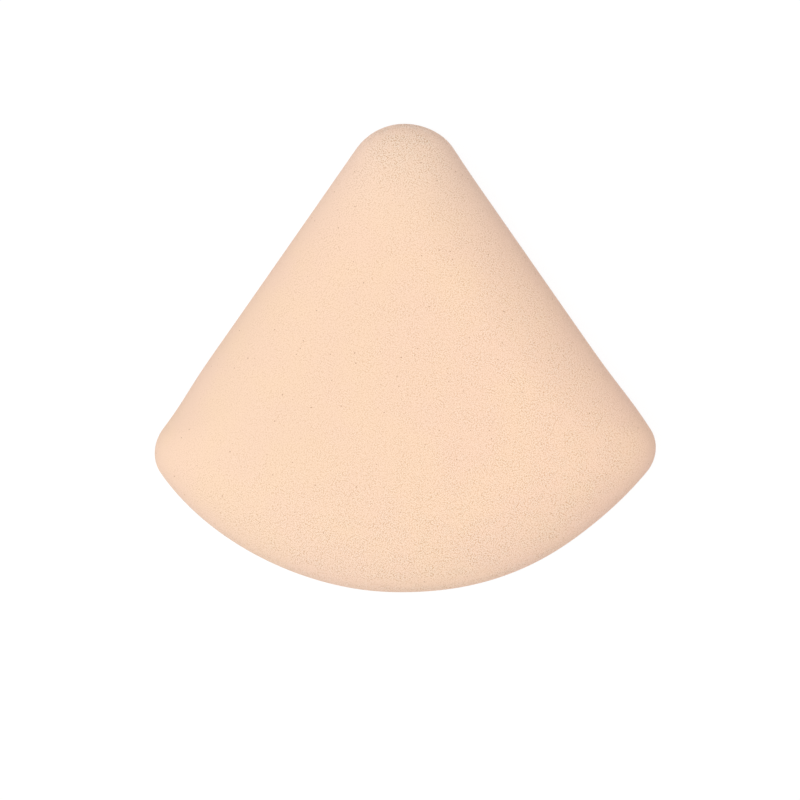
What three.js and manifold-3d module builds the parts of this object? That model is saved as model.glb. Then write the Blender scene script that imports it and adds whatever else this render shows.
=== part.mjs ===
import * as THREE from 'three';
import { mergeVertices } from 'three/addons/utils/BufferGeometryUtils.js';
import Module from 'manifold-3d';

// Fan-shaped powder puff in millimetres, +Z up. It lies on its back with the fan's apex towards +Y.

// Fan outline, seen from above
const fanWidth = 70;
const fanAngle = 69.8;
const apexRadius = 8.3;
const cornerRadius = 5.2;
const cornerEase = 0.8;
const baseDepth = 20;

// Cushion section, with heights counted from the flat of the back
const puffThickness = 13.5;
const faceCrown = 0.5;
const faceReach = 11.8;
const backReach = 5.6;
const rimHeight = 5.2;
const seamHeight = 3;

// Covers, and the pressed edges that they turn into the seam
const faceWall = 1.2;
const backWall = 0.9;
const edgeThickness = 0.6;
const foldRadius = 0.5;
const seamLap = 2.8;

// Finger band, and the strip of bond left behind each of its ends
const bandWidth = 16;
const bandThickness = 0.35;
const bandMiddle = -1;
const bondLand = 1.2;

// Clearances
const seamClearance = 0.1;
const coreClearance = 0.15;
const bandClearance = 0.3;

// Steps round the outline and along the section
const baseSteps = 16;
const cornerSteps = 7;
const sideSteps = 3;
const apexSteps = 10;
const crownSteps = 4;
const rimSteps = 6;
const innerRimSteps = 5;
const foldSteps = 3;

// Angle up the rim's curve, in degrees, where it hands over to the crown
const shoulderAngle = 85;

// Levels
const backZ = bandThickness + bandClearance;
const rimZ = backZ + rimHeight;
const seamZ = backZ + seamHeight;
const shoulderZ = backZ + puffThickness - faceCrown;
const shoulder = THREE.MathUtils.degToRad(shoulderAngle);
const faceDepth = (shoulderZ - rimZ) / Math.sin(shoulder);
const seamGap = bandThickness + 2 * seamClearance;
const faceFlangeZ = seamZ + seamGap / 2;
const backFlangeZ = seamZ - seamGap / 2;

// Fan outline: two straight sides meet above a round apex, and a wide arc closes the base
const halfAngle = THREE.MathUtils.degToRad(fanAngle / 2);
const sine = Math.sin(halfAngle);
const cosine = Math.cos(halfAngle);
const cornerX = fanWidth / 2 - cornerRadius;
const sideDrop = (cornerRadius + cornerX * cosine) / sine;
const fanHeight = baseDepth + sideDrop - apexRadius / sine + apexRadius;
const baseY = -fanHeight / 2;
const vertexY = baseY + baseDepth + sideDrop;
const baseRadius = (cornerX ** 2 + baseDepth ** 2 - cornerRadius ** 2) / (2 * (baseDepth - cornerRadius));
const baseCentreY = baseY + baseRadius;

// Centre of the largest circle inside the fan, which the inner rings close on
const middleY = (vertexY * sine + baseY) / (1 + sine);

function arc(x, y, radius, from, to, steps) {
  return new THREE.EllipseCurve(x, y, radius, radius, from, to).getPoints(steps);
}

// The outline moved in by an inset, as the same number of points each time, counterclockwise.
// The apex tightens as it moves in, and the two corners open, so that no ridge runs in from them.
function fanRing(inset) {
  const apex = apexRadius ** 2 / (apexRadius + inset);
  const corner = Math.hypot(cornerRadius, cornerEase * inset);
  const apexY = vertexY - (inset + apex) / sine;
  const lineY = vertexY - (inset + corner) / sine;
  const rise = lineY - baseCentreY;
  const reach = baseRadius - inset - corner;
  const along = cosine * rise + Math.sqrt(reach ** 2 - (sine * rise) ** 2);
  const x = along * sine;
  const y = lineY - along * cosine;
  const meet = Math.atan2(y - baseCentreY, x);
  const right = arc(0, baseCentreY, baseRadius - inset, -Math.PI / 2, meet, baseSteps / 2);
  right.push(...arc(x, y, corner, meet, halfAngle, cornerSteps).slice(1));
  const sideEnd = new THREE.Vector2(apex * cosine, apexY + apex * sine);
  const sideStart = right[right.length - 1];
  for (let step = 1; step < sideSteps; step += 1) {
    right.push(sideStart.clone().lerp(sideEnd, step / sideSteps));
  }
  right.push(...arc(0, apexY, apex, halfAngle, Math.PI / 2, apexSteps / 2));
  const left = right.slice(1, -1).reverse();
  return right.concat(left.map((point) => new THREE.Vector2(-point.x, point.y)));
}

// Rise of the crown at a point of the face: none along the shoulder, most in the middle, with no ridges
function crownRise(x, y) {
  const shoulderInset = rimStation(shoulder, 0).inset;
  const fromApex = (vertexY - y) * sine - shoulderInset;
  const fromBase = baseRadius - shoulderInset - Math.hypot(x, y - baseCentreY);
  const most = (vertexY - middleY) * sine - shoulderInset;
  return (faceCrown * (fromApex - x * cosine) * (fromApex + x * cosine) * fromBase) / most ** 3;
}

// A station is one ring of the cushion: the outline moved in by inset, drawn to the middle by scale, at z
function stationPoints({ inset, z, scale = 1, crowned = false }) {
  return fanRing(inset).map((point) => {
    const x = point.x * scale;
    const y = middleY + (point.y - middleY) * scale;
    return new THREE.Vector3(x, y, crowned ? z + crownRise(x, y) : z);
  });
}

function solid(points, triangles) {
  const geometry = new THREE.BufferGeometry().setFromPoints(points);
  geometry.setIndex(triangles);
  geometry.computeVertexNormals();
  return geometry;
}

// Quads between two rings of equal length, where the first ring starts at point a and the second at b
function bridge(a, b, count) {
  const triangles = [];
  for (let i = 0; i < count; i += 1) {
    const next = (i + 1) % count;
    triangles.push(a + i, b + i, a + next, a + next, b + i, b + next);
  }
  return triangles;
}

// A closed body through the stations, from a pole that looks up to a pole at the far end
function poleLoft(topZ, stations, endZ) {
  const points = stations.flatMap(stationPoints);
  const count = points.length / stations.length;
  const top = points.push(new THREE.Vector3(0, middleY, topZ)) - 1;
  const end = points.push(new THREE.Vector3(0, middleY, endZ)) - 1;
  const last = count * (stations.length - 1);
  const triangles = [];
  for (let i = 0; i < count; i += 1) {
    const next = (i + 1) % count;
    triangles.push(top, i, next, end, last + next, last + i);
  }
  for (let k = 0; k + 1 < stations.length; k += 1) {
    triangles.push(...bridge(k * count, (k + 1) * count, count));
  }
  return solid(points, triangles);
}

// A closed band round the rim, whose section is the loop of stations
function ringLoft(stations) {
  const points = stations.flatMap(stationPoints);
  const count = points.length / stations.length;
  const triangles = stations.flatMap(
    (_, k) => bridge(k * count, ((k + 1) % stations.length) * count, count),
  );
  return solid(points, triangles);
}

// The rim's section: one ellipse from the back (-90 degrees) to the widest line (0), one up to the shoulder
function rimAngle(z, offset) {
  const depth = z < rimZ ? rimHeight : faceDepth;
  return Math.asin((z - rimZ) / (depth + offset));
}

function rimStation(angle, offset) {
  const depth = angle < 0 ? rimHeight : faceDepth;
  const reach = angle < 0 ? backReach : faceReach;
  return {
    inset: reach - (reach + offset) * Math.cos(angle),
    z: rimZ + (depth + offset) * Math.sin(angle),
  };
}

function rimStations(from, to, offset, steps) {
  const stations = [];
  for (let step = 0; step <= steps; step += 1) {
    stations.push(rimStation(THREE.MathUtils.lerp(from, to, step / steps), offset));
  }
  return stations;
}

// Rings over the face, from the middle out to the shoulder
function crownStations(offset) {
  const { inset } = rimStation(shoulder, offset);
  const stations = [];
  for (let step = 1; step < crownSteps; step += 1) {
    stations.push({ inset, z: shoulderZ + offset, scale: step / crownSteps, crowned: true });
  }
  return stations;
}

function crownTop(offset) {
  return shoulderZ + offset + crownRise(0, middleY);
}

// The fold of a cover's edge into the seam, from the rim to the flange; side is 1 above the seam, -1 below
function foldStations(flangeZ, side) {
  const angle = rimAngle(flangeZ + side * foldRadius, 0);
  const start = rimStation(angle, 0);
  const lean = (side * foldRadius * backReach * Math.tan(angle)) / rimHeight;
  const bend = new THREE.Vector2(start.inset - lean, flangeZ);
  const run = Math.hypot(foldRadius, lean);
  const curve = new THREE.QuadraticBezierCurve(
    new THREE.Vector2(start.inset, start.z),
    bend,
    new THREE.Vector2(bend.x + run, flangeZ),
  );
  return curve.getPoints(foldSteps).map((point) => ({ inset: point.x, z: point.y }));
}

const straightDown = -Math.PI / 2;
const faceFold = foldStations(faceFlangeZ, 1);
const backFold = foldStations(backFlangeZ, -1);
const lapInset = backFold[foldSteps].inset;
const flangeInset = lapInset + seamLap;
const tailInset = flangeInset - bondLand;

function faceCover() {
  const flangeTop = faceFlangeZ + edgeThickness;
  const innerAngle = rimAngle(flangeTop, -faceWall);
  const outer = rimStations(shoulder, 0, 0, rimSteps);
  const inner = rimStations(innerAngle, shoulder, -faceWall, innerRimSteps);
  const stations = [
    ...crownStations(0),
    ...outer,
    ...faceFold,
    { inset: flangeInset, z: faceFlangeZ },
    { inset: flangeInset, z: flangeTop },
    ...inner,
    ...crownStations(-faceWall).reverse(),
  ];
  return poleLoft(crownTop(0), stations, crownTop(-faceWall));
}

function backCover() {
  const flangeUnder = backFlangeZ - edgeThickness;
  const innerAngle = rimAngle(flangeUnder, -backWall);
  const outer = rimStations(rimAngle(backFold[0].z, 0), straightDown, 0, rimSteps);
  const inner = rimStations(straightDown, innerAngle, -backWall, innerRimSteps);
  const stations = [
    ...inner,
    { inset: flangeInset, z: flangeUnder },
    { inset: flangeInset, z: backFlangeZ },
    ...backFold.toReversed(),
    ...outer.slice(1),
  ];
  return poleLoft(backZ + backWall, stations, backZ);
}

function foamCore() {
  const faceOffset = -(faceWall + coreClearance);
  const backOffset = -(backWall + coreClearance);
  const grooveInset = flangeInset + coreClearance;
  const grooveTop = faceFlangeZ + edgeThickness + coreClearance;
  const grooveBottom = backFlangeZ - edgeThickness - coreClearance;
  const stations = [
    ...crownStations(faceOffset),
    ...rimStations(shoulder, rimAngle(grooveTop, faceOffset), faceOffset, innerRimSteps),
    { inset: grooveInset, z: grooveTop },
    { inset: grooveInset, z: grooveBottom },
    ...rimStations(rimAngle(grooveBottom, backOffset), straightDown, backOffset, innerRimSteps),
  ];
  return poleLoft(crownTop(faceOffset), stations, backZ - backOffset);
}

// Where a line along the straight side, moved in by inset, stands at this y
function sideX(inset, y) {
  return (vertexY - y) * Math.tan(halfAngle) - inset / cosine;
}

const bandEdges = [bandMiddle - bandWidth / 2, bandMiddle + bandWidth / 2];

// The back cover's outside from the band's end in the seam, round the fold and rim, to the flat of the back
function bandBed() {
  const rim = rimStations(rimAngle(backFold[0].z, 0), straightDown, 0, rimSteps);
  const bed = [{ inset: tailInset, z: backFlangeZ, clearance: seamClearance }];
  backFold.toReversed().forEach((station, step) => {
    const clearance = THREE.MathUtils.lerp(seamClearance, bandClearance, step / foldSteps);
    bed.push({ ...station, clearance });
  });
  rim.slice(1).forEach((station) => bed.push({ ...station, clearance: bandClearance }));
  bed.push({ inset: backReach + bandThickness, z: backZ, clearance: bandClearance });
  return bed;
}

// The bed's line lifted off the cover by its clearance and a further height
function liftedBed(height) {
  const bed = bandBed();
  return bed.map((station, k) => {
    const before = bed[Math.max(k - 1, 0)];
    const after = bed[Math.min(k + 1, bed.length - 1)];
    const tangent = new THREE.Vector2(after.inset - before.inset, after.z - before.z).normalize();
    const lift = station.clearance + height;
    return { inset: station.inset + tangent.y * lift, z: station.z - tangent.x * lift };
  });
}

// The band's section is the strip between its two faces, drawn along both slanted sides of the fan
function fingerBand() {
  const inside = liftedBed(0);
  const outside = liftedBed(bandThickness);
  const rightToLeft = (line) => [
    ...line.map((station) => ({ ...station, side: 1 })),
    ...line.toReversed().map((station) => ({ ...station, side: -1 })),
  ];
  const loop = rightToLeft(inside).concat(rightToLeft(outside).reverse());
  const half = loop.length / 2;
  const points = bandEdges.flatMap((y) => loop.map(
    ({ inset, z, side }) => new THREE.Vector3(side * sideX(inset, y), y, z),
  ));
  const triangles = bridge(0, loop.length, loop.length);
  for (let i = 0; i + 1 < half; i += 1) {
    const across = loop.length - 1 - i;
    const strip = [i, i + 1, across, across, i + 1, across - 1];
    triangles.push(...strip);
    triangles.push(...strip.map((point) => point + loop.length).reverse());
  }
  return solid(points, triangles);
}

const wasm = await Module();
wasm.setup();

function toManifold(geometry) {
  const bare = geometry.clone();
  bare.deleteAttribute('normal');
  bare.deleteAttribute('uv');
  const merged = mergeVertices(bare);
  return new wasm.Manifold(new wasm.Mesh({
    numProp: 3,
    vertProperties: new Float32Array(merged.attributes.position.array),
    triVerts: new Uint32Array(merged.index.array),
  }));
}

function fromManifold(manifold) {
  const mesh = manifold.getMesh();
  const geometry = new THREE.BufferGeometry();
  geometry.setAttribute('position', new THREE.BufferAttribute(mesh.vertProperties, 3));
  geometry.setIndex(new THREE.BufferAttribute(mesh.triVerts, 1));
  geometry.computeVertexNormals();
  return geometry;
}

// The space that one end of the band takes in the bond
function bandNotch(side) {
  const [low, high] = [bandEdges[0] - seamClearance, bandEdges[1] + seamClearance];
  const inset = tailInset + seamClearance;
  const corners = [[0, low], [0, high], [inset, high], [inset, low]];
  const shape = new THREE.Shape(corners.map(([d, y]) => new THREE.Vector2(side * sideX(d, y), y)));
  const geometry = new THREE.ExtrudeGeometry(shape, { depth: seamGap, bevelEnabled: false });
  return geometry.translate(0, 0, backFlangeZ);
}

// The bond fills the lap between the two flanges, in the same layer as the band's ends
function rimBond() {
  const top = faceFlangeZ - seamClearance;
  const bottom = backFlangeZ + seamClearance;
  const ring = ringLoft([
    { inset: lapInset, z: top },
    { inset: lapInset, z: bottom },
    { inset: flangeInset, z: bottom },
    { inset: flangeInset, z: top },
  ]);
  const notched = toManifold(ring).subtract(toManifold(bandNotch(1))).subtract(toManifold(bandNotch(-1)));
  return fromManifold(notched);
}

function piece(name, geometry, color, roughness) {
  const mesh = new THREE.Mesh(geometry, new THREE.MeshStandardMaterial({ color, roughness, metalness: 0 }));
  mesh.name = name;
  return mesh;
}

const puff = new THREE.Group();
puff.add(piece('face_cover', faceCover(), '#fbd9bd', 0.95));
puff.add(piece('back_cover', backCover(), '#fbd9bd', 0.95));
puff.add(piece('foam_core', foamCore(), '#f8e6d4', 1));
puff.add(piece('rim_bond', rimBond(), '#f0dcc6', 0.6));
puff.add(piece('finger_band', fingerBand(), '#f3cfb5', 0.45));

export default puff;
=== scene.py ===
import math

import bpy
import numpy as np
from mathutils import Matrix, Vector


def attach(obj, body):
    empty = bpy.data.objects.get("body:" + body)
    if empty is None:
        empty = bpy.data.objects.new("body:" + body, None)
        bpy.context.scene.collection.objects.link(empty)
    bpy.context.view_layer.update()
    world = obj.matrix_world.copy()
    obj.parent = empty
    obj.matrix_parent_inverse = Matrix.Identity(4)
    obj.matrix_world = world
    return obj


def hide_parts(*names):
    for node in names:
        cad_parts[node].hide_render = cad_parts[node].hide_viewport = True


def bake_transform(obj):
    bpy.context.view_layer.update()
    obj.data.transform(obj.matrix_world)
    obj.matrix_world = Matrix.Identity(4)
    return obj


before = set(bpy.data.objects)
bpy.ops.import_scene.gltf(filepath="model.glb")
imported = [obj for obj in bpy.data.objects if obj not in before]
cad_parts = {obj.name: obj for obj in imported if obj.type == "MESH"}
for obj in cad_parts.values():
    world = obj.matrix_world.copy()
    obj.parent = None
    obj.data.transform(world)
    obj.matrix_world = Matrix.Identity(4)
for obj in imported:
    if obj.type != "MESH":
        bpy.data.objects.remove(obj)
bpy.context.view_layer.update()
scene = bpy.context.scene
print("frame loaded:", ", ".join(sorted(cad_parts)))


# Camera straight above the face, as the puff was photographed
camera = {
    "lens": 100.0,
    "sensor": 36.0,
    "aim": (-0.00063, -0.00583, 0.00585),
    "frame": 0.11197,  # what the picture takes in at the height of the rim
}


def addCamera():
    data = bpy.data.cameras.new("camera")
    data.lens = camera["lens"]
    data.sensor_width = camera["sensor"]
    eye = bpy.data.objects.new("camera", data)
    away = camera["frame"] * camera["lens"] / camera["sensor"]
    eye.location = Vector(camera["aim"]) + Vector((0, 0, away))
    scene.collection.objects.link(eye)
    scene.camera = eye


addCamera()


# Fan outline in metres: two straight sides, a round apex, two corners and a wide base arc
fan = {
    "width": 0.070,
    "angle": 69.8,
    "apexRadius": 0.0083,
    "cornerRadius": 0.0052,
    "cornerEase": 0.8,  # how fast the corners open as the outline moves in
    "baseDepth": 0.020,
    "baseSteps": 40,
    "cornerSteps": 26,
    "sideSteps": 40,
    "apexSteps": 16,
}

# Where the cut strays from the true outline: angle about the centre, distance out, spread in degrees
handCut = {
    "centre": (0.0, -0.0058),
    "fade": 0.006,
    "strays": [
        (356, 0.00041, 9), (328, -0.00035, 16), (185, -0.00052, 9),
        (80, 0.00016, 4), (203, 0.00032, 23), (274, -0.00008, 12),
    ],
}

halfAngle = math.radians(fan["angle"] / 2)
sine, cosine = math.sin(halfAngle), math.cos(halfAngle)
cornerX = fan["width"] / 2 - fan["cornerRadius"]
sideDrop = (fan["cornerRadius"] + cornerX * cosine) / sine
fanHeight = fan["baseDepth"] + sideDrop - fan["apexRadius"] / sine + fan["apexRadius"]
baseY = -fanHeight / 2
vertexY = baseY + fan["baseDepth"] + sideDrop
baseRadius = (cornerX**2 + fan["baseDepth"]**2 - fan["cornerRadius"]**2) / (
    2 * (fan["baseDepth"] - fan["cornerRadius"])
)
baseCentreY = baseY + baseRadius
middle = np.array((0.0, (vertexY * sine + baseY) / (1 + sine)))


def arcPoints(x, y, radius, start, end, steps):
    angles = np.linspace(start, end, steps + 1)
    return np.column_stack([x + radius * np.cos(angles), y + radius * np.sin(angles)])


def fanRing(inset):
    apex = fan["apexRadius"]**2 / (fan["apexRadius"] + inset)
    corner = math.hypot(fan["cornerRadius"], fan["cornerEase"] * inset)
    apexY = vertexY - (inset + apex) / sine
    lineY = vertexY - (inset + corner) / sine
    rise = lineY - baseCentreY
    reach = baseRadius - inset - corner
    along = cosine * rise + math.sqrt(reach**2 - (sine * rise)**2)
    x, y = along * sine, lineY - along * cosine
    meet = math.atan2(y - baseCentreY, x)
    base = arcPoints(0, baseCentreY, baseRadius - inset, -math.pi / 2, meet, fan["baseSteps"])
    bend = arcPoints(x, y, corner, meet, halfAngle, fan["cornerSteps"])
    tip = arcPoints(0, apexY, apex, halfAngle, math.pi / 2, fan["apexSteps"])
    side = bend[-1] + (tip[0] - bend[-1]) * np.linspace(0, 1, fan["sideSteps"] + 1)[:, None]
    right = np.concatenate([base, bend[1:], side[1:], tip[1:]])
    return np.concatenate([right, right[1:-1][::-1] * (-1, 1)])


def strayed(points, inset):
    arms = points - handCut["centre"]
    angles = np.degrees(np.arctan2(arms[:, 1], arms[:, 0]))
    out = np.zeros(len(points))
    for angle, distance, spread in handCut["strays"]:
        apart = (angles - angle + 180) % 360 - 180
        out += distance * np.exp(-(apart / spread)**2)
    out *= np.exp(-(inset / handCut["fade"])**2)
    return points + arms * (out / np.maximum(np.linalg.norm(arms, axis=1), 1e-6))[:, None]


def ringAt(inset, z, scale=1.0):
    flat = middle + (strayed(fanRing(inset), inset) - middle) * scale
    return np.column_stack([flat, np.full(len(flat), z)])


# Section of the cushion, from the flat of the back up to the crown
section = {
    "backZ": 0.00065,
    "thickness": 0.0131,
    "crown": 0.0001,  # before the cloth swells
    "faceReach": 0.0118,
    "backReach": 0.0056,
    "rimHeight": 0.0052,
    "seamHeight": 0.003,
    "seamGap": 0.00055,
    "shoulder": 85,
}

shoulder = math.radians(section["shoulder"])
rimZ = section["backZ"] + section["rimHeight"]
seamZ = section["backZ"] + section["seamHeight"]
shoulderZ = section["backZ"] + section["thickness"] - section["crown"]
faceDepth = (shoulderZ - rimZ) / math.sin(shoulder)
faceFlangeZ = seamZ + section["seamGap"] / 2
backFlangeZ = seamZ - section["seamGap"] / 2


def rimStation(angle, offset=0.0):
    depth = section["rimHeight"] if angle < 0 else faceDepth
    reach = section["backReach"] if angle < 0 else section["faceReach"]
    return reach - (reach + offset) * math.cos(angle), rimZ + (depth + offset) * math.sin(angle)


def rimAngle(z, offset=0.0):
    depth = section["rimHeight"] if z < rimZ else faceDepth
    return math.asin((z - rimZ) / (depth + offset))


def rimRings(start, end, steps, offset=0.0):
    return [ringAt(*rimStation(angle, offset)) for angle in np.linspace(start, end, steps + 1)]


def crowned(points, offset=0.0):
    inset = rimStation(shoulder, offset)[0]
    fromApex = (vertexY - points[:, 1]) * sine - inset
    fromBase = baseRadius - inset - np.hypot(points[:, 0], points[:, 1] - baseCentreY)
    most = (vertexY - middle[1]) * sine - inset
    lean = points[:, 0] * cosine
    points[:, 2] += section["crown"] * (fromApex - lean) * (fromApex + lean) * fromBase / most**3
    return points


def crownRings(steps, offset=0.0):
    inset, z = rimStation(shoulder, offset)
    return [crowned(ringAt(inset, z, step / steps), offset) for step in range(1, steps)]


# Covers and the pressed edges that they turn into the seam
cover = {
    "faceWall": 0.0012,
    "backWall": 0.0009,
    "edge": 0.0006,
    "foldRadius": 0.0005,
    "lap": 0.0028,
    "lipClose": 0.00017,  # how far each lip settles towards the other
    "gather": 0.00003,  # small waves that the pressing leaves along the lips
    "gatherWaves": ((0.0041, 1.0, 0), (0.0027, 0.6, 1)),  # length, share and phase of each
    "lipMargin": 0.0001,  # the lips stay open beside the band and close over this run
    "lipRun": 0.0008,
    "crownSteps": 25,
    "rimSteps": 26,
    "turnSteps": 6,
    "foldSteps": 8,
    "backSteps": 18,
    "flatSteps": 15,
    "innerSteps": 12,
    "innerCrownSteps": 8,
}

band = {
    "width": 0.016,
    "thickness": 0.00035,
    "middle": -0.001,
    "bondLand": 0.0012,
    "seamClearance": 0.0001,
    "bedClearance": 0.0003,
}


def foldStations(flangeZ, side):
    angle = rimAngle(flangeZ + side * cover["foldRadius"])
    inset, z = rimStation(angle)
    lean = side * cover["foldRadius"] * section["backReach"] * math.tan(angle) / section["rimHeight"]
    bend = np.array((inset - lean, flangeZ))
    run = math.hypot(cover["foldRadius"], lean)
    start, end = np.array((inset, z)), bend + (run, 0)
    steps = np.linspace(0, 1, cover["foldSteps"] + 1)[:, None]
    return start * (1 - steps)**2 + 2 * bend * steps * (1 - steps) + end * steps**2


faceFold = foldStations(faceFlangeZ, 1)
backFold = foldStations(backFlangeZ, -1)
lapInset = backFold[-1][0]
flangeInset = lapInset + cover["lap"]
tailInset = flangeInset - band["bondLand"]


# How clear each point lies of the band's strip: 0 in the strip, 1 well away from it
def clearOfBand(points, margin, run):
    away = np.abs(points[:, 1] - band["middle"]) - band["width"] / 2 - margin
    share = np.clip(away / run, 0, 1)
    return share * share * (3 - 2 * share)


def settleLip(ring, side, share):
    along = np.cumsum(np.linalg.norm(np.diff(ring, axis=0, prepend=ring[-1:]), axis=1))
    turns = along * 2 * math.pi
    waves = sum(part * np.sin(turns / length + phase) for length, part, phase in cover["gatherWaves"])
    settled = cover["gather"] * waves - side * cover["lipClose"]
    ring[:, 2] += settled * share * clearOfBand(ring, cover["lipMargin"], cover["lipRun"])
    return ring


def foldRings(fold, side):
    shares = np.linspace(0, 1, len(fold))
    return [settleLip(ringAt(*station), side, share) for station, share in zip(fold, shares)]


def blankMesh(name, points, faces, edges=()):
    mesh = bpy.data.meshes.new(name)
    mesh.from_pydata([tuple(point) for point in points], edges, faces)
    return mesh


def blankPiece(name, mesh):
    piece = bpy.data.objects.new(name, mesh)
    scene.collection.objects.link(piece)
    return piece


# A value for each point of a mesh, read by its material
def pointLayer(mesh, name, values):
    kind, field = ("FLOAT", "value") if values.ndim == 1 else ("FLOAT_VECTOR", "vector")
    layer = mesh.attributes.new(name, kind, "POINT")
    layer.data.foreach_set(field, values.astype(np.float32).ravel())


# Quads between neighbouring rings that have the same number of points
def ringQuads(rings, count, flip=False):
    around = np.arange(count)
    onward = (around + 1) % count
    quads = []
    for a in range(0, (rings - 1) * count, count):
        b = a + count
        corners = [a + around, b + around, b + onward, a + onward]
        if flip:
            corners = [corners[k] for k in (0, 3, 2, 1)]
        quads += np.column_stack(corners).tolist()
    return quads


# A closed skin over the rings, from a point at the top to a point at the end
def loft(name, rings, top, end):
    count = len(rings[0])
    around = np.arange(count)
    onward = (around + 1) % count
    last = (len(rings) - 1) * count
    pole = len(rings) * count
    faces = ringQuads(len(rings), count)
    faces += np.column_stack([np.full(count, pole), around, onward]).tolist()
    faces += np.column_stack([np.full(count, pole + 1), last + onward, last + around]).tolist()
    mesh = blankMesh(name, np.concatenate([*rings, [top, end]]), faces)
    mesh.shade_smooth()
    return blankPiece(name, mesh)


# Cloth blows up a coarse copy of the rings, and its moves go back to the fine ones
swell = {
    "scale": 20.0,  # small areas get hardly any force, so the copy is larger
    "frames": 20,
    "quality": 6,
    "mass": 0.01,
    "stiffness": 40.0,
    "shear": 40.0 / 3,
    "bending": 8.0,
    "smooth": 12,  # passes over the moves on the fine rings
}


def cageMesh(cage, pole):
    rings, count = cage.shape[:2]
    around = np.arange(count)
    faces = ringQuads(rings, count)
    faces += np.column_stack([np.full(count, rings * count), around, (around + 1) % count]).tolist()
    return blankMesh("cage", np.concatenate([cage.reshape(-1, 3), [pole]]), faces)


def clothMoves(cage, pole, pins, pressure):
    size = swell["scale"]
    blown = blankPiece("cage", cageMesh(cage * size, pole * size))
    group = blown.vertex_groups.new(name="held")
    for index, weight in enumerate(pins.ravel()):
        group.add([index], float(weight), "REPLACE")
    cloth = blown.modifiers.new("swell", "CLOTH")
    settings = cloth.settings
    settings.quality = swell["quality"]
    settings.mass = swell["mass"]
    settings.tension_stiffness = swell["stiffness"]
    settings.compression_stiffness = swell["stiffness"]
    settings.shear_stiffness = swell["shear"]
    settings.bending_stiffness = swell["bending"]
    settings.use_pressure = True
    settings.uniform_pressure_force = pressure
    settings.effector_weights.gravity = 0
    settings.vertex_group_mass = "held"
    cloth.collision_settings.use_collision = False
    cloth.point_cache.frame_start = 1
    cloth.point_cache.frame_end = swell["frames"]
    for step in range(1, swell["frames"] + 1):
        scene.frame_set(step)
    shown = blown.evaluated_get(bpy.context.evaluated_depsgraph_get())
    points = np.zeros(len(shown.data.vertices) * 3, np.float32)
    shown.data.vertices.foreach_get("co", points)
    mesh = blown.data
    bpy.data.objects.remove(blown)
    bpy.data.meshes.remove(mesh)
    scene.frame_set(1)
    return points.reshape(-1, 3)[:-1].reshape(cage.shape) / size - cage


def softened(field, passes):
    for _ in range(passes):
        field = (2 * field + np.roll(field, 1, 1) + np.roll(field, -1, 1)) / 4
        padded = np.concatenate([field[:1], field, field[-1:]])
        field = (padded[:-2] + 2 * padded[1:-1] + padded[2:]) / 4
    return field


def inflate(rings, pins, how):
    grid = np.array(rings)
    cap = how["cap"]
    moves = clothMoves(grid[::2, ::2], grid[0].mean(0), pins[::2, ::2], how["pressure"])
    moves = softened(moves, how["smooth"])
    length = np.linalg.norm(moves, axis=2, keepdims=True) + 1e-12
    print("  cloth moved up to %.2f mm, kept within %.2f" % (length.max() * 1000, cap * 1000))
    moves *= cap * np.tanh(length / cap) / length
    wide = np.empty((len(moves), grid.shape[1], 3))
    wide[:, ::2] = moves
    wide[:, 1::2] = (moves + np.roll(moves, -1, 1)) / 2
    fine = np.empty_like(grid)
    fine[::2] = wide
    fine[1::2] = (wide[:-1] + wide[1:]) / 2
    return grid + softened(fine, swell["smooth"]) * (1 - pins[..., None])


faceSwell = {
    "pressure": 1.8,
    "smooth": 30,
    "cap": 0.0006,
    "heldTo": 0.0014,  # height above the widest line, where the face is let go
    "heldRun": 0.0016,
}


def faceCover():
    wall = -cover["faceWall"]
    outer = crownRings(cover["crownSteps"])
    outer += rimRings(shoulder, 0, cover["rimSteps"])
    outer += rimRings(0, rimAngle(faceFold[0][1]), cover["turnSteps"])[1:]
    outer = np.array(outer)
    pins = np.clip((rimZ + faceSwell["heldTo"] - outer[:, :, 2]) / faceSwell["heldRun"], 0, 1)
    swollen = inflate(outer, pins, faceSwell)
    flangeTop = faceFlangeZ + cover["edge"]
    inner = rimRings(rimAngle(flangeTop, wall), shoulder, cover["innerSteps"], wall)
    inner += crownRings(cover["innerCrownSteps"], wall)[::-1]
    rings = [
        *swollen,
        *foldRings(faceFold, 1)[1:],
        ringAt(flangeInset, faceFlangeZ),
        ringAt(flangeInset, flangeTop),
        *inner,
    ]
    return loft("face_cover_skin", rings, swollen[0].mean(0), inner[-1].mean(0))


backSwell = {
    "pressure": 1.0,
    "smooth": 3,
    "cap": 0.0004,
    "bandMargin": 0.0006,  # held under the band and a little to both sides
    "bandRun": 0.003,
    "heldFrom": 0.0006,  # height above the flat, from which the lip is held
    "heldRun": 0.0012,
}


def backCover():
    wall = -cover["backWall"]
    down = -math.pi / 2
    steps = cover["flatSteps"]
    flat = [ringAt(section["backReach"], section["backZ"], step / steps) for step in range(steps - 1, 0, -1)]
    outer = rimRings(rimAngle(backFold[0][1]), down, cover["backSteps"]) + flat
    outer = np.array(outer)[::-1]
    clear = clearOfBand(outer.reshape(-1, 3), backSwell["bandMargin"], backSwell["bandRun"])
    heights = outer[:, :, 2] - section["backZ"]
    lip = np.clip((heights - backSwell["heldFrom"]) / backSwell["heldRun"], 0, 1)
    pins = np.maximum(1 - clear.reshape(outer.shape[:2]), lip)
    swollen = inflate(outer[:, ::-1], pins[:, ::-1], backSwell)[:, ::-1][::-1]
    flangeUnder = backFlangeZ - cover["edge"]
    inner = rimRings(down, rimAngle(flangeUnder, wall), cover["innerSteps"], wall)
    rings = [
        *inner,
        ringAt(flangeInset, flangeUnder),
        ringAt(flangeInset, backFlangeZ),
        *foldRings(backFold, -1)[::-1],
        *swollen[1:],
    ]
    return loft("back_cover_skin", rings, inner[0].mean(0), swollen[-1].mean(0))


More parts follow.
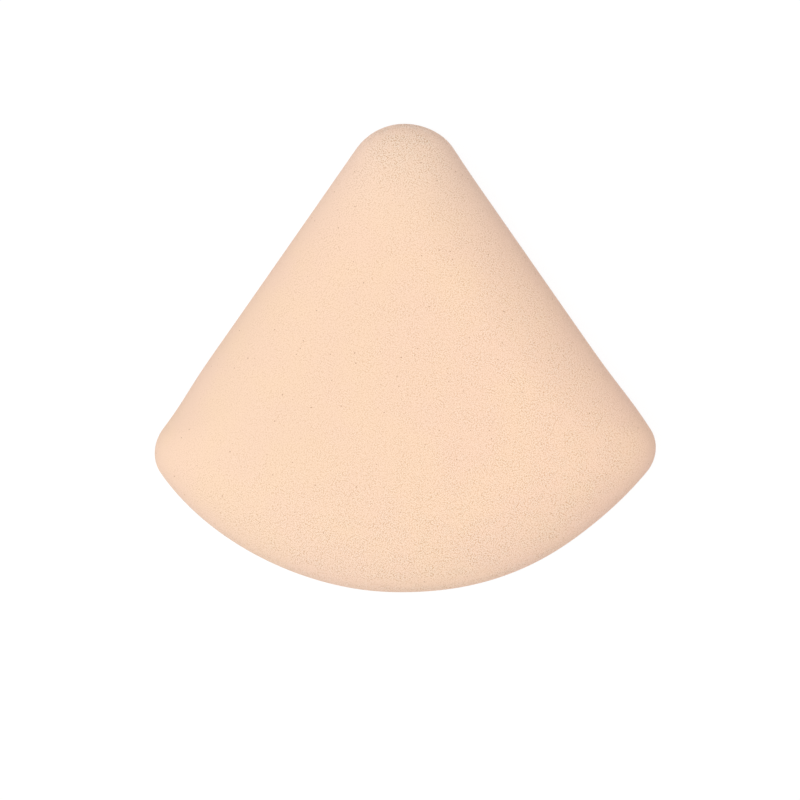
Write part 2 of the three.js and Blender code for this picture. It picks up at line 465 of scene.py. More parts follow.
faceSkin = faceCover()
backSkin = backCover()
print("covers: %d and %d points" % (len(faceSkin.data.vertices), len(backSkin.data.vertices)))


core = {
    "clearance": 0.00015,
    "rough": 0.00006,
    "seed": 7,
    "crownSteps": 10,
    "faceSteps": 12,
    "backSteps": 8,
    "flatSteps": 8,
}


def foamCore():
    faceOffset = -(cover["faceWall"] + core["clearance"])
    backOffset = -(cover["backWall"] + core["clearance"])
    groove = flangeInset + core["clearance"]
    grooveTop = faceFlangeZ + cover["edge"] + core["clearance"]
    grooveBottom = backFlangeZ - cover["edge"] - core["clearance"]
    down = -math.pi / 2
    rings = [
        *crownRings(core["crownSteps"], faceOffset),
        *rimRings(shoulder, rimAngle(grooveTop, faceOffset), core["faceSteps"], faceOffset),
        ringAt(groove, grooveTop),
        ringAt(groove, grooveBottom),
        *rimRings(rimAngle(grooveBottom, backOffset), down, core["backSteps"], backOffset),
    ]
    inset, z = rimStation(down, backOffset)
    steps = core["flatSteps"]
    rings += [ringAt(inset, z, step / steps) for step in range(steps - 1, 0, -1)]
    chance = np.random.default_rng(core["seed"])
    centre = (0, middle[1], rimZ)
    rough = []
    for ring in rings:
        inward = np.abs(chance.normal(0, core["rough"], ring.shape)) * np.sign(ring - centre)
        rough.append(ring - inward)
    return loft("foam_core_sponge", rough, rough[0].mean(0), rough[-1].mean(0))


# Geometry Nodes helpers: a tree with named inputs, its last nodes, and its result as a plain mesh
def newTree(name, inputs):
    tree = bpy.data.node_groups.new(name, "GeometryNodeTree")
    tree.is_modifier = True
    tree.interface.new_socket("Geometry", in_out="INPUT", socket_type="NodeSocketGeometry")
    for label, kind in inputs.items():
        tree.interface.new_socket(label, in_out="INPUT", socket_type="NodeSocket" + kind)
    tree.interface.new_socket("Geometry", in_out="OUTPUT", socket_type="NodeSocketGeometry")
    return tree, tree.nodes.new("NodeGroupInput"), tree.nodes.new("NodeGroupOutput")


def addNode(tree, kind, settings=None, links=None, values=None):
    made = tree.nodes.new(kind)
    for label, value in (settings or {}).items():
        setattr(made, label, value)
    for socket, value in (values or {}).items():
        made.inputs[socket].default_value = value
    for socket, source in (links or {}).items():
        tree.links.new(source, made.inputs[socket])
    return made


def endTree(tree, geometry, given, result, smooth=False):
    last = addNode(tree, "GeometryNodeRealizeInstances", links={"Geometry": geometry})
    if smooth:
        last = addNode(tree, "GeometryNodeSetShadeSmooth", links={"Geometry": last.outputs[0]})
    painted = addNode(
        tree, "GeometryNodeSetMaterial",
        links={"Geometry": last.outputs[0], "Material": given.outputs["Material"]},
    )
    tree.links.new(painted.outputs[0], result.inputs["Geometry"])
    return tree


def nodesResult(name, mesh, tree, values):
    source = blankPiece(name, mesh)
    grown = source.modifiers.new(name, "NODES")
    grown.node_group = tree
    for item in tree.interface.items_tree:
        if item.in_out == "INPUT" and item.name in values:
            grown[item.identifier] = values[item.name]
    depsgraph = bpy.context.evaluated_depsgraph_get()
    plain = bpy.data.meshes.new_from_object(source.evaluated_get(depsgraph), depsgraph=depsgraph)
    source.modifiers.remove(grown)
    source.data = plain
    return source


bond = {
    "thickness": 0.00035,
    "step": 0.0007,
    "stray": 0.00006,
    "strayScale": 450.0,
    "roundness": 0.45,  # corner radius as a share of the thickness
    "roundSteps": 3,
    "seed": 3,
    "endMargin": 0.0001,  # from the band's edge to the bond's end
    "endRun": 0.00001,
}


# The line of the bond between the lips, as two open runs that stop at the band's ends
def bondLine():
    ring = ringAt((lapInset + flangeInset) / 2, seamZ)
    count = len(ring)
    free = clearOfBand(ring, bond["endMargin"], bond["endRun"]) > 0.5
    edges = [(i, (i + 1) % count) for i in range(count) if free[i] and free[(i + 1) % count]]
    return blankMesh("bond line", ring, [], edges)


def bondTree():
    tree, given, result = newTree("bond bead", {
        "Width": "Float", "Thickness": "Float", "Step": "Float", "Stray": "Float",
        "Seed": "Float", "Material": "Material",
    })
    want = given.outputs
    line = addNode(tree, "GeometryNodeMeshToCurve", links={"Mesh": want["Geometry"]})
    even = addNode(
        tree, "GeometryNodeResampleCurve", {"mode": "LENGTH"},
        {"Curve": line.outputs[0], "Length": want["Step"]},
    )
    level = addNode(tree, "GeometryNodeSetCurveNormal", {"mode": "Z_UP"}, {"Curve": even.outputs[0]})
    drift = addNode(
        tree, "ShaderNodeTexNoise", {"noise_dimensions": "4D"},
        {"W": want["Seed"]}, {"Scale": bond["strayScale"]},
    )
    centred = addNode(
        tree, "ShaderNodeVectorMath", {"operation": "SUBTRACT"},
        {0: drift.outputs["Color"]}, {1: (0.5, 0.5, 0.5)},
    )
    flat = addNode(
        tree, "ShaderNodeVectorMath", {"operation": "MULTIPLY"}, {0: centred.outputs[0]}, {1: (2, 2, 0)}
    )
    sized = addNode(
        tree, "ShaderNodeVectorMath", {"operation": "SCALE"}, {0: flat.outputs[0], "Scale": want["Stray"]}
    )
    moved = addNode(
        tree, "GeometryNodeSetPosition", links={"Geometry": level.outputs[0], "Offset": sized.outputs[0]}
    )
    box = addNode(
        tree, "GeometryNodeCurvePrimitiveQuadrilateral",
        links={"Width": want["Width"], "Height": want["Thickness"]},
    )
    radius = addNode(
        tree, "ShaderNodeMath", {"operation": "MULTIPLY"}, {0: want["Thickness"]}, {1: bond["roundness"]}
    )
    rounded = addNode(
        tree, "GeometryNodeFilletCurve", {"mode": "POLY"},
        {"Curve": box.outputs[0], "Radius": radius.outputs[0]}, {"Count": bond["roundSteps"]},
    )
    swept = addNode(
        tree, "GeometryNodeCurveToMesh",
        links={"Curve": moved.outputs[0], "Profile Curve": rounded.outputs[0]}, values={"Fill Caps": True},
    )
    return endTree(tree, swept.outputs[0], given, result)


# The ribbon lies on the back cover from its tail in the seam, round the fold and the rim, to the middle
ribbon = {
    "tailSteps": 5,
    "rimSteps": 20,
    "flatSteps": 24,
    "acrossSteps": 28,
    "edgeRound": 0.00012,
    "loopStep": 0.00042,
    "loopSize": (0.00026, 0.00016, 0.00016),
    "loopSegments": 8,
    "loopRings": 5,
}
bandEdges = (band["middle"] - band["width"] / 2, band["middle"] + band["width"] / 2)


def ribbonBed():
    tail = np.linspace(tailInset, lapInset, ribbon["tailSteps"] + 1)[:-1]
    turn = np.linspace(rimAngle(backFold[0][1]), -math.pi / 2, ribbon["rimSteps"] + 1)[1:]
    rise = np.linspace(band["seamClearance"], band["bedClearance"], len(turn) + 1)[1:]
    bed = [(inset, backFlangeZ, band["seamClearance"]) for inset in tail]
    bed += [(inset, z, band["seamClearance"]) for inset, z in backFold[::-1]]
    bed += [(*rimStation(angle), lift) for angle, lift in zip(turn, rise)]
    bed.append((section["backReach"] + band["thickness"], section["backZ"], band["bedClearance"]))
    return np.array(bed)


# The bed's line, lifted off the cover by its clearance and a further height
def liftedBed(height):
    bed = ribbonBed()
    run = np.gradient(bed[:, :2], axis=0)
    run /= np.linalg.norm(run, axis=1)[:, None]
    lift = (bed[:, 2] + height)[:, None]
    return bed[:, :2] + np.column_stack([run[:, 1], -run[:, 0]]) * lift


# Rows of the ribbon from the tail to the middle, each a line of points across it
def ribbonRows(height, across, side):
    rows = []
    for inset, z in liftedBed(height):
        outline = fanRing(inset)
        right = outline[:len(outline) // 2 + 1]
        x = np.interp(across, right[:, 1], right[:, 0])
        flat = strayed(np.column_stack([side * x, across]), inset)
        rows.append(np.column_stack([flat, np.full_like(across, z)]))
    last = rows[-1]
    for share in np.linspace(1, 0, ribbon["flatSteps"] + 1)[1:]:
        rows.append(last * (share, 1, 1))
    return np.array(rows)


def ribbonHalf(name, side):
    across = np.linspace(*bandEdges, ribbon["acrossSteps"] + 1)
    rims = np.array((bandEdges[0] - ribbon["edgeRound"], bandEdges[1] + ribbon["edgeRound"]))
    inside = ribbonRows(0, across, side)
    outside = ribbonRows(band["thickness"], across[::-1], side)
    lower, upper = np.split(ribbonRows(band["thickness"] / 2, rims, side), 2, axis=1)
    loop = np.concatenate([lower, inside, upper, outside], axis=1)
    rows, count = loop.shape[:2]
    points = loop.reshape(-1, 3)
    around = np.arange(count)
    last = (rows - 1) * count
    faces = ringQuads(rows, count, flip=True)
    faces += [around[::-1].tolist(), (last + around).tolist()]
    if side < 0:
        faces = [corners[::-1] for corners in faces]
    piece = blankPiece(name, blankMesh(name, points, faces))
    piece.data.shade_smooth()
    for edge in piece.data.edges:
        if max(edge.vertices) < count or min(edge.vertices) >= last:
            edge.use_edge_sharp = True
    steps = np.linalg.norm(np.diff(loop, axis=0), axis=2)
    along = np.concatenate([np.cumsum(steps[::-1], axis=0)[::-1], np.zeros((1, count))])
    weave = np.column_stack([side * along.ravel(), points[:, 1], np.zeros(len(points))])
    pointLayer(piece.data, "weave", weave)
    return piece, float(along[0, count // 4])


def selvedgeTree():
    tree, given, result = newTree(
        "selvedge", {"Step": "Float", "Loop size": "Vector", "Material": "Material"}
    )
    line = addNode(tree, "GeometryNodeMeshToCurve", links={"Mesh": given.outputs["Geometry"]})
    even = addNode(
        tree, "GeometryNodeResampleCurve", {"mode": "LENGTH"},
        {"Curve": line.outputs[0], "Length": given.outputs["Step"]},
    )
    tangent = addNode(tree, "GeometryNodeInputTangent")
    turned = addNode(
        tree, "FunctionNodeAlignRotationToVector", {"axis": "X"}, {"Vector": tangent.outputs[0]}
    )
    loop = addNode(
        tree, "GeometryNodeMeshUVSphere",
        values={"Segments": ribbon["loopSegments"], "Rings": ribbon["loopRings"], "Radius": 1.0},
    )
    loops = addNode(
        tree, "GeometryNodeInstanceOnPoints",
        links={
            "Points": even.outputs[0], "Instance": loop.outputs["Mesh"],
            "Rotation": turned.outputs[0], "Scale": given.outputs["Loop size"],
        },
    )
    return endTree(tree, loops.outputs[0], given, result, smooth=True)


def selvedge(name, side, tree, material):
    points, edges = [], []
    for row in ribbonRows(band["thickness"] / 2, np.array(bandEdges), side).transpose(1, 0, 2):
        edges += [(len(points) + i, len(points) + i + 1) for i in range(len(row) - 1)]
        points += row.tolist()
    values = {"Step": ribbon["loopStep"], "Loop size": ribbon["loopSize"], "Material": material}
    return nodesResult(name, blankMesh(name, points, [], edges), tree, values)


# Pinholes of the foam skin, scattered over the face
pinholes = {
    "perArea": 70000.0,
    "apart": 0.0009,
    "small": 0.00004,
    "large": 0.00010,
    "facing": 0.1,  # least upward part of the skin's normal
    "seed": 11,
    "sides": 9,
    # radius, height and depth of painted shade of each ring of a pit one unit across
    "profile": [(1.35, 0.0, 0.0), (1.0, 0.10, 0.25), (0.62, 0.05, 0.85), (0.3, 0.03, 1.0)],
    # painted shade at the bottom of each pinhole
    "floor": (0.45, 0.28, 0.19),
}


# A shallow pit with a soft lip, with painted shade that darkens towards its floor
def pitMesh():
    count, rings = pinholes["sides"], len(pinholes["profile"])
    points, depths = [], []
    for radius, height, depth in pinholes["profile"]:
        for k in range(count):
            turn = 2 * math.pi * k / count
            points.append((radius * math.cos(turn), radius * math.sin(turn), height))
            depths.append(depth)
    faces = ringQuads(rings, count, flip=True)
    faces.append([(rings - 1) * count + k for k in range(count)])
    mesh = blankMesh("pit", points, faces)
    mesh.shade_smooth()
    pointLayer(mesh, "depth", np.array(depths))
    return mesh


def pinholeTree():
    tree, given, result = newTree("pinholes", {
        "Pit": "Object", "Per area": "Float", "Apart": "Float", "Small": "Float", "Large": "Float",
        "Seed": "Int", "Material": "Material",
    })
    want = given.outputs
    normal = addNode(tree, "GeometryNodeInputNormal")
    parts = addNode(tree, "ShaderNodeSeparateXYZ", links={0: normal.outputs[0]})
    up = addNode(
        tree, "FunctionNodeCompare", {"operation": "GREATER_THAN"},
        {0: parts.outputs["Z"]}, {1: pinholes["facing"]},
    )
    spread = addNode(
        tree, "GeometryNodeDistributePointsOnFaces", {"distribute_method": "POISSON"},
        {
            "Mesh": want["Geometry"], "Selection": up.outputs[0], "Distance Min": want["Apart"],
            "Density Max": want["Per area"], "Seed": want["Seed"],
        },
    )
    pit = addNode(tree, "GeometryNodeObjectInfo", links={"Object": want["Pit"]})
    size = addNode(
        tree, "FunctionNodeRandomValue", {"data_type": "FLOAT"},
        {"Min": want["Small"], "Max": want["Large"], "Seed": want["Seed"]},
    )
    pits = addNode(
        tree, "GeometryNodeInstanceOnPoints",
        links={
            "Points": spread.outputs["Points"], "Instance": pit.outputs["Geometry"],
            "Rotation": spread.outputs["Rotation"], "Scale": size.outputs["Value"],
        },
    )
    return endTree(tree, pits.outputs[0], given, result)


# Helpers for materials
def newMaterial(name, specular, roughness=0.5):
    material = bpy.data.materials.new(name)
    material.use_nodes = True
    tree = material.node_tree
    shader = tree.nodes["Principled BSDF"]
    shader.inputs["Roughness"].default_value = roughness
    shader.inputs["Specular IOR Level"].default_value = specular
    return material, tree, shader


def ranged(tree, source, low, high, toLow=0.0, toHigh=1.0, kind="SMOOTHSTEP"):
    made = addNode(
        tree, "ShaderNodeMapRange", {"interpolation_type": kind}, {"Value": source},
        {"From Min": low, "From Max": high, "To Min": toLow, "To Max": toHigh},
    )
    return made.outputs["Result"]


def combined(tree, operation, a, b):
    made = addNode(tree, "ShaderNodeMath", {"operation": operation})
    for socket, value in enumerate((a, b)):
        if isinstance(value, (int, float)):
            made.inputs[socket].default_value = value
        else:
            tree.links.new(value, made.inputs[socket])
    return made.outputs[0]


def times(tree, a, b):
    return combined(tree, "MULTIPLY", a, b)


def plus(tree, a, b):
    return combined(tree, "ADD", a, b)


def blended(tree, share, a, b):
    made = addNode(tree, "ShaderNodeMix", {"data_type": "RGBA"}, {"Factor": share})
    for socket, value in ((6, a), (7, b)):
        if isinstance(value, tuple):
            made.inputs[socket].default_value = (*value, 1)
        else:
            tree.links.new(value, made.inputs[socket])
    return made.outputs[2]


def noise(tree, where, scale, detail=2.0, roughness=0.5):
    made = addNode(
        tree, "ShaderNodeTexNoise", links={"Vector": where},
        values={"Scale": scale, "Detail": detail, "Roughness": roughness},
    )
    return made.outputs["Fac"]


def layered(tree, name, output="Fac"):
    return addNode(tree, "ShaderNodeAttribute", {"attribute_name": name}).outputs[output]


def vectors(tree, operation, *sources):
    made = addNode(tree, "ShaderNodeVectorMath", {"operation": operation})
    for socket, value in enumerate(sources):
        if isinstance(value, tuple):
            made.inputs[socket].default_value = value
        else:
            tree.links.new(value, made.inputs[socket])
    return made.outputs[0]


def raised(tree, shader, height, strength, distance):
    made = addNode(
        tree, "ShaderNodeBump", links={"Height": height}, values={"Strength": strength, "Distance": distance}
    )
    tree.links.new(made.outputs[0], shader.inputs["Normal"])


skin = {
    "pink": (0.932, 0.656, 0.489),
    "straw": (0.936, 0.664, 0.479),
    "driftScale": 120.0,
    "driftSpan": (0.35, 0.65),
    "pale": (0.930, 0.672, 0.510),
    "paleY": (0.012, 0.03),  # the tint turns pale towards the apex
    "roughScale": 900.0,
    "roughSpan": (0.3, 0.7, 0.88, 0.96),
    "specular": 0.2,
    "grainScale": 5600.0,  # pebbles about 0.18 mm across
    "grainSpread": 0.9,
    "grainTurn": 0.5,
    "grainReach": 0.33,  # distances from the mean that span a pebble's height
    "rimGrain": ("3D", 1.25, 0.51),
    "flatGrain": ("2D", 1.0, 0.42),
    "grainShade": 0.6,
    "paintedShadeTint": (0.78, 1.03, 1.42),  # painted shade in the hollows between pebbles, redder, and painted highlight on the crests, paler
    "pitScale": 3400.0,
    "pitSpan": (0.22, 0.32, -1.0, 0.0),
    "pitShade": 0.10,
    "pitDepth": 0.3,
    "patchScale": 600.0,
    "patchSpan": (0.35, 0.65, 0.7, 1.05),
    "brightest": (0.99, 0.99, 0.99),
    "bump": 0.8,
    "bumpHeight": 0.00005,
}


# Pebbles of the skin, in the plane where it lies flat, in space where it turns over the rim: crests and
# hollows for the bump, and painted highlight on the crests and painted shade in the hollows for the colour
def pebbleGrain(tree, where, dimensions, finer, mean):
    cells = addNode(
        tree, "ShaderNodeTexVoronoi", {"voronoi_dimensions": dimensions}, {"Vector": where},
        {"Scale": skin["grainScale"] * finer, "Randomness": skin["grainSpread"]},
    )
    low, high = mean - skin["grainReach"], mean + skin["grainReach"]
    return ranged(tree, cells.outputs["Distance"], low, high, 0.5, -0.5, "LINEAR")


def coverSkinMaterial():
    material, tree, shader = newMaterial("cover skin", skin["specular"])
    where = addNode(tree, "ShaderNodeTexCoord").outputs["Object"]
    # tint
    across = addNode(tree, "ShaderNodeSeparateXYZ", links={0: where}).outputs["Y"]
    clouds = ranged(tree, noise(tree, where, skin["driftScale"], 3.0), *skin["driftSpan"])
    drift = blended(tree, clouds, skin["pink"], skin["straw"])
    plain = blended(tree, ranged(tree, across, *skin["paleY"]), drift, skin["pale"])
    # the tone layer holds the painted sheen: less red on the lit left, bluer over the rim
    tint = vectors(tree, "MULTIPLY", plain, layered(tree, "tone", "Vector"))
    # pebbles and pits
    patches = ranged(tree, noise(tree, where, skin["patchScale"], 1.0), *skin["patchSpan"])
    # how strongly grain and pits are drawn: weaker on the lit left and stronger where the light grazes, as
    # painted shading
    grainAndShadeStrength = times(tree, patches, layered(tree, "grain"))
    turned = addNode(
        tree, "ShaderNodeMapping", links={"Vector": where}, values={"Rotation": (0, 0, skin["grainTurn"])}
    ).outputs[0]
    onRim = pebbleGrain(tree, turned, *skin["rimGrain"])
    onFlat = pebbleGrain(tree, turned, *skin["flatGrain"])
    pebbles = addNode(
        tree, "ShaderNodeMix", {"data_type": "FLOAT"}, {0: layered(tree, "flatness"), 2: onRim, 3: onFlat}
    ).outputs[0]
    rough = times(tree, pebbles, grainAndShadeStrength)
    # painted shade of small pores: dark specks where the noise runs low, also sunk a little by the bump
    holes = ranged(tree, noise(tree, where, skin["pitScale"], 0.0), *skin["pitSpan"])
    pits = times(tree, holes, grainAndShadeStrength)
    # tint times one plus the painted shade and highlight of the grain and the painted shade of the pits
    shade = plus(tree, times(tree, rough, skin["grainShade"]), times(tree, pits, skin["pitShade"]))
    deeper = addNode(
        tree, "ShaderNodeVectorMath", {"operation": "SCALE"}, {"Scale": shade}, {0: skin["paintedShadeTint"]}
    ).outputs[0]
    shaded = vectors(tree, "MULTIPLY_ADD", deeper, tint, tint)
    tree.links.new(vectors(tree, "MINIMUM", shaded, skin["brightest"]), shader.inputs["Base Color"])
    dull = ranged(tree, noise(tree, where, skin["roughScale"]), *skin["roughSpan"])
    tree.links.new(dull, shader.inputs["Roughness"])
    height = plus(tree, rough, times(tree, pits, skin["pitDepth"]))
    raised(tree, shader, height, skin["bump"], skin["bumpHeight"])
    return material


# Painted shade: the pit darkens from the skin's straw tint to a deep brown at its floor
def pitShadeMaterial():
    material, tree, shader = newMaterial("pinhole", 0.1, 0.95)
    colour = blended(tree, layered(tree, "depth"), skin["straw"], pinholes["floor"])
    tree.links.new(colour, shader.inputs["Base Color"])
    return material


foam = {
    "light": (0.95, 0.80, 0.67),
    "deep": (0.91, 0.75, 0.61),
    # painted shade inside the open cells
    "cellShade": (0.62, 0.44, 0.31),
    "toneScale": 160.0,
    "cellScale": 1300.0,
    "cellWall": (0.1, 0.6),
    "bump": 0.8,
    "bumpHeight": 0.0004,
}


def spongeMaterial():
    material, tree, shader = newMaterial("core sponge", 0.15, 1.0)
    where = addNode(tree, "ShaderNodeTexCoord").outputs["Object"]
    cells = addNode(
        tree, "ShaderNodeTexVoronoi", links={"Vector": where}, values={"Scale": foam["cellScale"]}
    )
    wall = ranged(tree, cells.outputs["Distance"], *foam["cellWall"])
    pale = blended(tree, noise(tree, where, foam["toneScale"], 3.0), foam["light"], foam["deep"])
    # painted shade: the open cells darken towards their middles
    tree.links.new(blended(tree, wall, foam["cellShade"], pale), shader.inputs["Base Color"])
    raised(tree, shader, wall, foam["bump"], foam["bumpHeight"])
    return material


hotMelt = {
    "light": (0.87, 0.70, 0.53),
    "deep": (0.80, 0.60, 0.43),
    "toneScale": 500.0,
    "roughSpan": (0.3, 0.7, 0.35, 0.55),
    "rippleScale": 1500.0,
    "bump": 0.3,
    "bumpHeight": 0.0002,
}


def hotMeltMaterial():
    material, tree, shader = newMaterial("hot-melt", 0.5)
    where = addNode(tree, "ShaderNodeTexCoord").outputs["Object"]
    tone = noise(tree, where, hotMelt["toneScale"], 3.0)
    tree.links.new(blended(tree, tone, hotMelt["light"], hotMelt["deep"]), shader.inputs["Base Color"])
    tree.links.new(ranged(tree, tone, *hotMelt["roughSpan"]), shader.inputs["Roughness"])
    raised(tree, shader, noise(tree, where, hotMelt["rippleScale"]), hotMelt["bump"], hotMelt["bumpHeight"])
    return material


satin = {
    "light": (0.93, 0.655, 0.485),
    "deep": (0.87, 0.585, 0.42),
    "float": 1900.0,  # satin floats about 0.5 mm long
    "thread": 7500.0,  # warp threads about 0.13 mm apart
    "stagger": 0.4,
    "gap": 0.14,
    "gapBlur": 0.8,
    "bias": -0.4,  # towards the light threads
    "toneScale": 260.0,
    "toneShare": 0.35,
    "roughness": (0.36, 0.6),  # on the threads and in the gaps
    "specular": 0.45,
    "sheen": 0.15,
    "sheenRoughness": 0.4,
    "bump": 0.35,
    "bumpHeight": 0.00004,
}


# Floats and threads follow the ribbon, or lie straight across the object on its edge loops
def satinMaterial(name, plain):
    material, tree, shader = newMaterial(name, satin["specular"])
    shader.inputs["Sheen Weight"].default_value = satin["sheen"]
    shader.inputs["Sheen Roughness"].default_value = satin["sheenRoughness"]
    if plain:
        where = addNode(tree, "ShaderNodeTexCoord").outputs["Object"]
    else:
        where = layered(tree, "weave", "Vector")
    laid = addNode(
        tree, "ShaderNodeMapping", links={"Vector": where},
        values={"Scale": (satin["float"], satin["thread"], 1.0)},
    )
    light, deep = (*satin["light"], 1), (*satin["deep"], 1)
    threads = addNode(
        tree, "ShaderNodeTexBrick", {"offset": satin["stagger"], "offset_frequency": 2},
        {"Vector": laid.outputs[0]},
        {
            "Color1": light, "Color2": deep, "Mortar": deep, "Bias": satin["bias"],
            "Mortar Size": satin["gap"], "Mortar Smooth": satin["gapBlur"],
            "Scale": 1.0, "Brick Width": 1.0, "Row Height": 1.0,
        },
    )
    gaps = threads.outputs["Fac"]
    share = times(tree, noise(tree, where, satin["toneScale"]), satin["toneShare"])
    colour = blended(tree, share, threads.outputs["Color"], satin["deep"])
    tree.links.new(colour, shader.inputs["Base Color"])
    dull = ranged(tree, gaps, 0.0, 1.0, *satin["roughness"], "LINEAR")
    tree.links.new(dull, shader.inputs["Roughness"])
    raised(tree, shader, ranged(tree, gaps, 0.0, 1.0, 1.0, 0.0, "LINEAR"), satin["bump"], satin["bumpHeight"])
    return material


coverSkin = coverSkinMaterial()
satinWeave = satinMaterial("satin weave", False)
satinEdge = satinMaterial("satin edge", True)


# How strongly the skin's grain is drawn, partly real patchiness and partly painted shading: least on the lit
# left of the face and the rims of its sides, most at the apex, where the light grazes
grainAndGrazingShade = {
    "least": 0.15,
    "gain": 0.54,  # from the left corner to well right of the middle
    "gainX": (-0.0375, 0.019),
    "apexY": (0.021, 0.030),
    "base": 0.56,
    "baseDown": (0.011, 0.025),
    "sideFade": 0.6,
    "sideTilt": (0.37, 0.80),
    "endLift": 0.15,  # on the rims of the apex and the base
    "endTilt": (0.58, 0.83),
    "wallFade": 0.5,  # where the rim stands upright, so that it looks as even from the side
    "wallUp": (0.1, 0.45),
    "flatUp": (0.5, 0.75),  # from where the pebbles lie in space to where they lie in the plane
}

# Painted sheen in the skin's colour: a little redder to the right than on the lit left, and bluer where it
# turns over the rim
paintedSheen = {
    "red": (0.972, 1.015),
    "redX": (-0.025, 0.033),
    "blue": 0.052,
    "blueUp": (0.4, 0.95),
}


def eased(value, low, high):
    return np.clip((value - low) / (high - low), 0, 1)


def skinLayers(mesh):
    points, normals = np.zeros((2, len(mesh.vertices) * 3), np.float32)
    mesh.vertices.foreach_get("co", points)
    mesh.vertices.foreach_get("normal", normals)
    x, y = points[0::3], points[1::3]
    tiltX, tiltY, up = np.abs(normals.reshape(-1, 3)).T
    side = grainAndGrazingShade["least"] + grainAndGrazingShade["gain"] * eased(x, *grainAndGrazingShade["gainX"])
    apex = eased(y, *grainAndGrazingShade["apexY"])
    base = grainAndGrazingShade["base"] * eased(-y, *grainAndGrazingShade["baseDown"])
    # painted shading: the grain is drawn stronger on the right, the apex and the base, where the light
    # grazes, and weaker on the lit left
    grain = 1 - (1 - side) * (1 - apex) * (1 - base)
    grain *= 1 - grainAndGrazingShade["sideFade"] * eased(tiltX, *grainAndGrazingShade["sideTilt"])
    grain *= 1 + grainAndGrazingShade["endLift"] * eased(tiltY, *grainAndGrazingShade["endTilt"])
    grain *= 1 - grainAndGrazingShade["wallFade"] * (1 - eased(up, *grainAndGrazingShade["wallUp"]))
    pointLayer(mesh, "grain", grain)
    pointLayer(mesh, "flatness", eased(up, *grainAndGrazingShade["flatUp"]))
    # painted sheen: less red on the lit left, bluer where the skin turns over the rim
    low, high = paintedSheen["red"]
    red = low + (high - low) * eased(x, *paintedSheen["redX"])
    blue = 1 + paintedSheen["blue"] * (1 - eased(up, *paintedSheen["blueUp"]))
    pointLayer(mesh, "tone", np.column_stack([red, np.ones(len(red)), blue]))


for piece, node in ((faceSkin, "face_cover"), (backSkin, "back_cover")):
    skinLayers(piece.data)
    piece.data.materials.append(coverSkin)
    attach(piece, "puff")
    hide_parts(node)

pit = blankPiece("pit", pitMesh())
pits = nodesResult(
    "face_pinholes", faceSkin.data.copy(), pinholeTree(),
    {
        "Pit": pit, "Per area": pinholes["perArea"], "Apart": pinholes["apart"], "Small": pinholes["small"],
        "Large": pinholes["large"], "Seed": pinholes["seed"], "Material": pitShadeMaterial(),
    },
)
bpy.data.objects.remove(pit)
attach(pits, "puff")
print("pinholes: %d faces" % len(pits.data.polygons))

sponge = foamCore()
sponge.data.materials.append(spongeMaterial())
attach(sponge, "puff")
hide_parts("foam_core")

bead = nodesResult(
    "rim_bond_bead", bondLine(), bondTree(),
    {
        "Width": cover["lap"], "Thickness": bond["thickness"], "Step": bond["step"], "Stray": bond["stray"],
        "Seed": float(bond["seed"]), "Material": hotMeltMaterial(),
    },
)
bead.data.shade_smooth()
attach(bead, "puff")
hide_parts("rim_bond")
print("core and bond: %d and %d faces" % (len(sponge.data.polygons), len(bead.data.polygons)))

edgeTree = selvedgeTree()
for label, side in (("right", 1), ("left", -1)):
    half, length = ribbonHalf("finger_ribbon_" + label, side)
    half.data.materials.append(satinWeave)
    edge = selvedge("ribbon_selvedge_" + label, side, edgeTree, satinEdge)
    for piece in (half, edge):
        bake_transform(piece)
        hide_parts("finger_band")
    print("ribbon %s: %.1f mm long" % (label, length * 1000))


# Studio: a pale floor, an even white surround and one soft lamp above, a little to the left
studio = {
    "floor": 0.95,
    "floorZ": -0.0001,
    "floorReach": 2.0,
    "shadow": 0.12,  # how strongly the floor shows light and shadow to the camera
    "glow": 0.91,
    "shadowFade": (0.06, 0.2),  # distances from the middle over which the floor turns plain white
    "surround": 0.43,
    "lampFrom": (-0.21, -0.075, 0.975),
    "lampAway": 1.0,
    "lampSize": 0.9,
    "lampShare": 0.777,  # of the light on a face that looks straight up, were it a small lamp
}


# 1 for rays from the camera, and for those that metal or glass would send on
def seenWhite(tree):
    path = addNode(tree, "ShaderNodeLightPath")
    total = path.outputs["Is Camera Ray"]
    for kind in ("Is Glossy Ray", "Is Transmission Ray"):
        total = combined(tree, "MAXIMUM", total, path.outputs[kind])
    return total


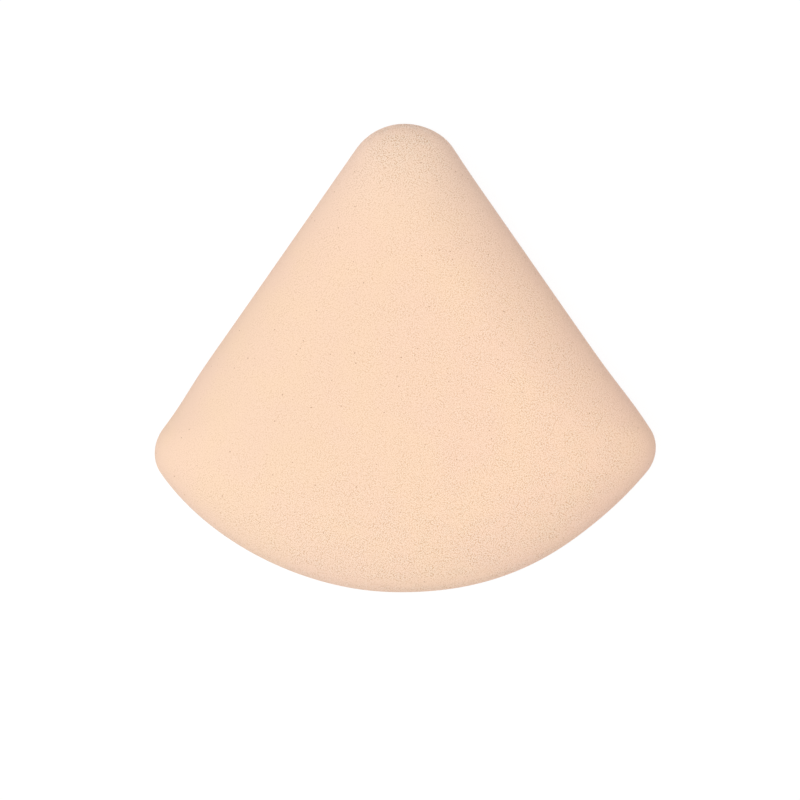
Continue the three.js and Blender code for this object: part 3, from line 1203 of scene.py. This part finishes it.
def floorMaterial():
    material = bpy.data.materials.new("floor paper")
    material.use_nodes = True
    tree = material.node_tree
    tree.nodes.clear()
    paper = addNode(tree, "ShaderNodeBsdfDiffuse", values={"Color": (*[studio["floor"]] * 3, 1)})
    shade = addNode(tree, "ShaderNodeBsdfDiffuse", values={"Color": (*[studio["shadow"]] * 3, 1)})
    glow = addNode(tree, "ShaderNodeEmission", values={"Strength": studio["glow"]})
    near = addNode(tree, "ShaderNodeAddShader", links={0: shade.outputs[0], 1: glow.outputs[0]})
    far = addNode(tree, "ShaderNodeEmission")
    where = addNode(tree, "ShaderNodeTexCoord").outputs["Object"]
    away = addNode(tree, "ShaderNodeVectorMath", {"operation": "LENGTH"}, {0: where}).outputs["Value"]
    white = addNode(
        tree, "ShaderNodeMixShader",
        links={0: ranged(tree, away, *studio["shadowFade"]), 1: near.outputs[0], 2: far.outputs[0]},
    )
    mix = addNode(
        tree, "ShaderNodeMixShader", links={0: seenWhite(tree), 1: paper.outputs[0], 2: white.outputs[0]}
    )
    addNode(tree, "ShaderNodeOutputMaterial", links={"Surface": mix.outputs[0]})
    return material


def addFloor():
    reach, z = studio["floorReach"], studio["floorZ"]
    corners = [(-reach, -reach, z), (reach, -reach, z), (reach, reach, z), (-reach, reach, z)]
    floor = blankPiece("floor", blankMesh("floor", corners, [(0, 1, 2, 3)]))
    floor.data.materials.append(floorMaterial())


def addSurround():
    world = bpy.data.worlds.new("surround")
    world.use_nodes = True
    scene.world = world
    tree = world.node_tree
    shade = tree.nodes["Background"]
    shade.inputs["Color"].default_value = (1, 1, 1, 1)
    level = ranged(tree, seenWhite(tree), 0.0, 1.0, studio["surround"], 1.0, "LINEAR")
    tree.links.new(level, shade.inputs["Strength"])


def addLamp():
    data = bpy.data.lights.new("softbox", "AREA")
    data.size = studio["lampSize"]
    toLamp = Vector(studio["lampFrom"]).normalized()
    data.energy = studio["lampShare"] * math.pi**2 * studio["lampAway"]**2 / toLamp.z
    lamp = blankPiece("softbox", data)
    lamp.location = toLamp * studio["lampAway"]
    lamp.rotation_euler = toLamp.to_track_quat("Z", "Y").to_euler()


addFloor()
addSurround()
addLamp()
scene.view_settings.view_transform = "Standard"
print("studio lit")
